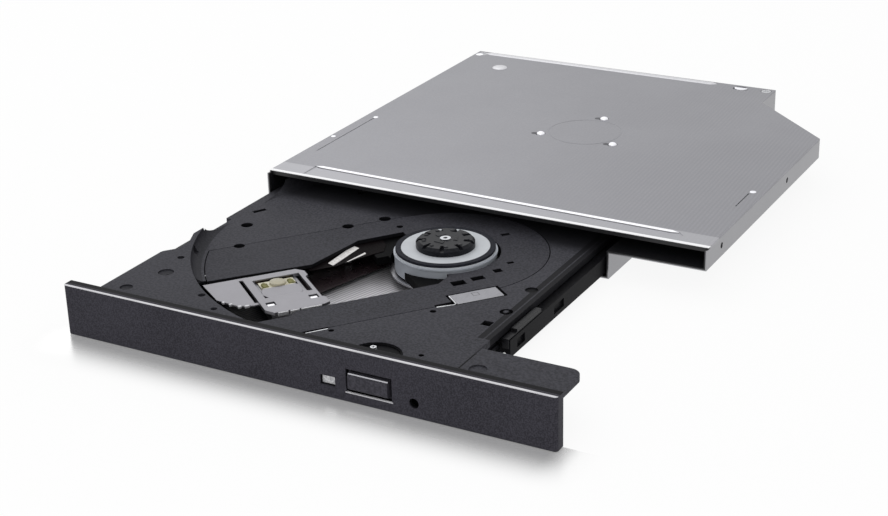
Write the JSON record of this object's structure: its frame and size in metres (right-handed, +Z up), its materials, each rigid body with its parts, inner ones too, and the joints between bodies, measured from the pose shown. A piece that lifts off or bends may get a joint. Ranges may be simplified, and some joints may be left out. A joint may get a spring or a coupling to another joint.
{
  "type": "internal dvd drive",
  "caption": "Slim tray-loading disc drive with a steel case, a sliding tray on rails, a spindle and a sledge with the laser pickup.",
  "frame": {"origin": "centre of the steel case's bottom face", "axes": "+X to the right seen from the bezel, +Y from the bezel to the rear plug, +Z up through the top cover; the tray slides out along -Y"},
  "size_m": [0.1287, 0.2115, 0.0127],
  "materials": {
    "case_steel": "rolled, satin",
    "screw_steel": "plated",
    "rail_plastic": "moulded",
    "clip_plastic": "moulded",
    "board_green": "solder mask",
    "chip_black": "moulded",
    "socket_black": "moulded",
    "flex_amber": "film",
    "tray_plastic": "fine grain",
    "bezel_plastic": "fine grain",
    "lamp_plastic": "frosted",
    "lever_plastic": "moulded",
    "solenoid_black": "satin",
    "bright_steel": "ground",
    "sheet_steel": "satin",
    "frame_metal": "satin",
    "sled_cover_plastic": "fine grain",
    "damper_rubber": "soft",
    "core_steel": "laminated",
    "coil_copper": "enamelled",
    "can_steel": "plated",
    "seat_white": "moulded",
    "hub_black": "moulded",
    "pickup_metal": "cast",
    "pickup_cover_metal": "pressed",
    "yoke_brass": "plated",
    "holder_plastic": "moulded",
    "lens_glass": "coated"
  },
  "bodies": {
    "case": {"bottom_case": "case_steel", "top_cover": "case_steel", "case_screws": "screw_steel", "left_rail_guide": "rail_plastic", "right_rail_guide": "rail_plastic", "lock_post": "screw_steel", "connector_board": "board_green", "sata_connector": "socket_black", "chassis_flex": "flex_amber"},
    "left_rail": {"left_rail": "rail_plastic", "left_rail_clip": "clip_plastic"},
    "right_rail": {"right_rail": "rail_plastic", "right_rail_clip": "clip_plastic"},
    "rotor": {"rotor_can": "can_steel", "spindle_shaft": "bright_steel", "turntable_ring": "seat_white", "rubber_ring": "damper_rubber", "disc_hub": "hub_black", "hub_claws": "hub_black", "hub_cap": "seat_white"},
    "pickup": {"pickup_base": "pickup_metal", "pickup_cover": "pickup_cover_metal", "pickup_actuator": "yoke_brass", "screw_follower": "sheet_steel"},
    "lens": {"lens_holder": "holder_plastic", "objective_lens": "lens_glass"},
    "feed_screw": {"lead_screw": "bright_steel"},
    "button": {"eject_button": "bezel_plastic"},
    "latch": {"latch_lever": "lever_plastic"},
    "plunger": {"solenoid_plunger": "bright_steel"},
    "emergency": {"emergency_lever": "lever_plastic"},
    "ejector": {"ejector_plunger": "bright_steel"},
    "tray": {"tray_screw": "screw_steel", "shield_screws": "screw_steel", "damper_screws": "screw_steel", "front_board": "board_green", "tray_board": "board_green", "board_chips": "chip_black", "eject_switch": "chip_black", "pickup_flex": "flex_amber", "tray": "tray_plastic", "front_bezel": "bezel_plastic", "indicator_window": "lamp_plastic", "ejector_housing": "lever_plastic", "latch_solenoid": "solenoid_black", "latch_spring": "bright_steel", "ejector_spring": "bright_steel", "main_guide_shaft": "bright_steel", "side_guide_shaft": "bright_steel", "tray_shield": "sheet_steel", "spindle_base": "sheet_steel", "shaft_clamps": "sheet_steel", "feed_motor_plate": "sheet_steel", "feed_motor": "sheet_steel", "traverse_frame": "frame_metal", "traverse_cover": "sled_cover_plastic", "damper_grommets": "damper_rubber", "stator_core": "core_steel", "stator_coils": "coil_copper"}
  },
  "joints": [
    {"name": "tray_slide", "type": "slide", "parent": "case", "child": "tray", "axis": [0, -1, 0], "range_m": [-0.08166, 0.04234]},
    {"name": "left_rail_slide", "type": "slide", "parent": "case", "child": "left_rail", "axis": [0, -1, 0], "range_m": [-0.054, 0.028]},
    {"name": "right_rail_slide", "type": "slide", "parent": "case", "child": "right_rail", "axis": [0, -1, 0], "range_m": [-0.054, 0.028]},
    {"name": "ejector_slide", "type": "slide", "parent": "tray", "child": "ejector", "axis": [0, 1, 0], "range_m": [-0.0041, 0.0021]},
    {"name": "spindle_spin", "type": "hinge", "parent": "tray", "child": "rotor", "pos_m": [0.00175, -0.08105, 0], "axis": [0, 0, 1], "continuous": true},
    {"name": "pickup_slide", "type": "slide", "parent": "tray", "child": "pickup", "axis": [0.6293, 0.7771, 0], "range_m": [-0.014, 0.022]},
    {"name": "feed_screw_spin", "type": "hinge", "parent": "tray", "child": "feed_screw", "pos_m": [0.00572, -0.12287, 0.0047], "axis": [0.6293, 0.7771, 0], "range_deg": [-1680, 2640]},
    {"name": "lens_focus", "type": "slide", "parent": "pickup", "child": "lens", "axis": [0, 0, 1], "range_m": [-0.0003, 0.0003], "stiffness_N_per_m": 100},
    {"name": "eject_press", "type": "slide", "parent": "tray", "child": "button", "axis": [0, 1, 0], "range_m": [0, 0.0006], "stiffness_N_per_m": 300},
    {"name": "latch_swing", "type": "hinge", "parent": "tray", "child": "latch", "pos_m": [0.0254, -0.13811, 0.0027], "axis": [0, 0, 1], "range_deg": [-16, 0]},
    {"name": "plunger_slide", "type": "slide", "parent": "tray", "child": "plunger", "axis": [1, 0, 0], "range_m": [0, 0.00112], "stiffness_N_per_m": 30},
    {"name": "emergency_push", "type": "slide", "parent": "tray", "child": "emergency", "axis": [0, 1, 0], "range_m": [0, 0.001], "stiffness_N_per_m": 60}
  ],
  "couplings": [
    {"joint": "left_rail_slide", "follows": "tray_slide", "ratio": 0.661},
    {"joint": "right_rail_slide", "follows": "tray_slide", "ratio": 0.661},
    {"joint": "ejector_slide", "follows": "tray_slide", "ratio": 0.049},
    {"joint": "feed_screw_spin", "follows": "pickup_slide", "rad_per_m": 2094.4},
    {"joint": "latch_swing", "follows": "plunger_slide", "rad_per_m": -250}
  ]
}
